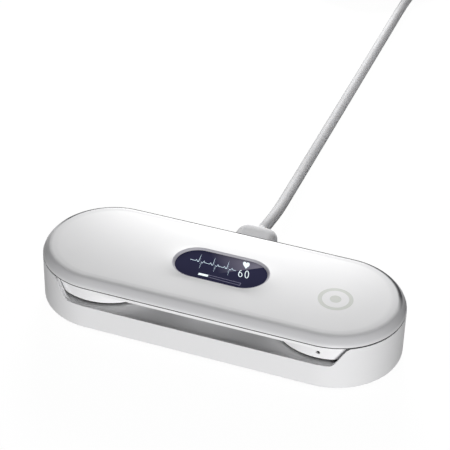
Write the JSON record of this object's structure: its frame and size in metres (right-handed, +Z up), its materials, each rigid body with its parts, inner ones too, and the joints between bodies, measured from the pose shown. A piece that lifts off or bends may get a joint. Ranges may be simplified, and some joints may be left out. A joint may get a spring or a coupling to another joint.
{
  "type": "portable ecg monitor",
  "caption": "Pill-shaped portable ECG monitor with a small display, docked in its charging cradle with a detachable USB lead.",
  "frame": {"origin": "centre of the dock's footprint, on the table that its feet stand on", "axes": "+X along the dock to the right, +Y to the rear, where the lead leaves, +Z up"},
  "size_m": [0.1, 0.2991, 0.0164],
  "materials": {
    "white": "fine satin-gloss moulded plastic",
    "dock_white": "fine matt moulded plastic",
    "tray_grey": "matt moulded plastic",
    "black_rubber": "matt",
    "steel": "plain",
    "board": "solder mask",
    "gold": "gold plated",
    "display_glass": "polished, tinted dark blue",
    "battery_foil": "laminated foil",
    "lead_plastic": "soft satin",
    "insert_plastic": "plain"
  },
  "bodies": {
    "dock": {"dock_shell": "dock_white", "dock_base": "dock_white", "dock_tray": "tray_grey", "contact_block": "tray_grey", "dock_foot_1": "black_rubber", "dock_foot_2": "black_rubber", "dock_foot_3": "black_rubber", "dock_foot_4": "black_rubber", "socket_tongue": "black_rubber", "base_screw_1": "steel", "base_screw_2": "steel", "base_screw_3": "steel", "base_screw_4": "steel", "socket_shell": "steel", "dock_magnet_front": "steel", "dock_magnet_rear": "steel", "ballast_left": "steel", "ballast_right": "steel", "dock_board": "board", "pin_barrel_left": "gold", "pin_barrel_right": "gold"},
    "monitor": {"top_shell": "white", "bottom_shell": "white", "shell_seal": "black_rubber", "display_lens": "display_glass", "display_panel": "display_glass", "display_frame": "black_rubber", "main_board": "board", "battery": "battery_foil", "buzzer": "black_rubber", "touch_pad": "gold", "status_light_pipe": "black_rubber", "electrode_left": "steel", "electrode_right": "steel", "electrode_ring_left": "black_rubber", "electrode_ring_right": "black_rubber", "electrode_contact_left": "gold", "electrode_contact_right": "gold", "charge_pad_left": "gold", "charge_pad_right": "gold", "monitor_magnet_front": "steel", "monitor_magnet_rear": "steel", "case_screw_1": "steel", "case_screw_2": "steel", "case_screw_3": "steel", "case_screw_4": "steel"},
    "contact_left": {"contact_pin_left": "gold"},
    "contact_right": {"contact_pin_right": "gold"},
    "cable": {"plug_tip": "steel", "plug_grip": "lead_plastic", "plug_neck": "lead_plastic", "lead_run": "lead_plastic", "lead_coil": "lead_plastic", "lead_tail": "lead_plastic", "usb_a_grip": "lead_plastic", "usb_a_shell": "steel", "usb_a_insert": "insert_plastic"}
  },
  "joints": [
    {"name": "monitor_lift", "type": "slide", "parent": "dock", "child": "monitor", "axis": [0, 0, 1], "range_m": [0, 0.03]},
    {"name": "plug_pull", "type": "slide", "parent": "dock", "child": "cable", "axis": [0, 1, 0], "range_m": [0, 0.008]},
    {"name": "contact_left_press", "type": "slide", "parent": "dock", "child": "contact_left", "axis": [0, 0, 1], "range_m": [-0.0008, 0], "stiffness_N_per_m": 400},
    {"name": "contact_right_press", "type": "slide", "parent": "dock", "child": "contact_right", "axis": [0, 0, 1], "range_m": [-0.0008, 0], "stiffness_N_per_m": 400}
  ]
}
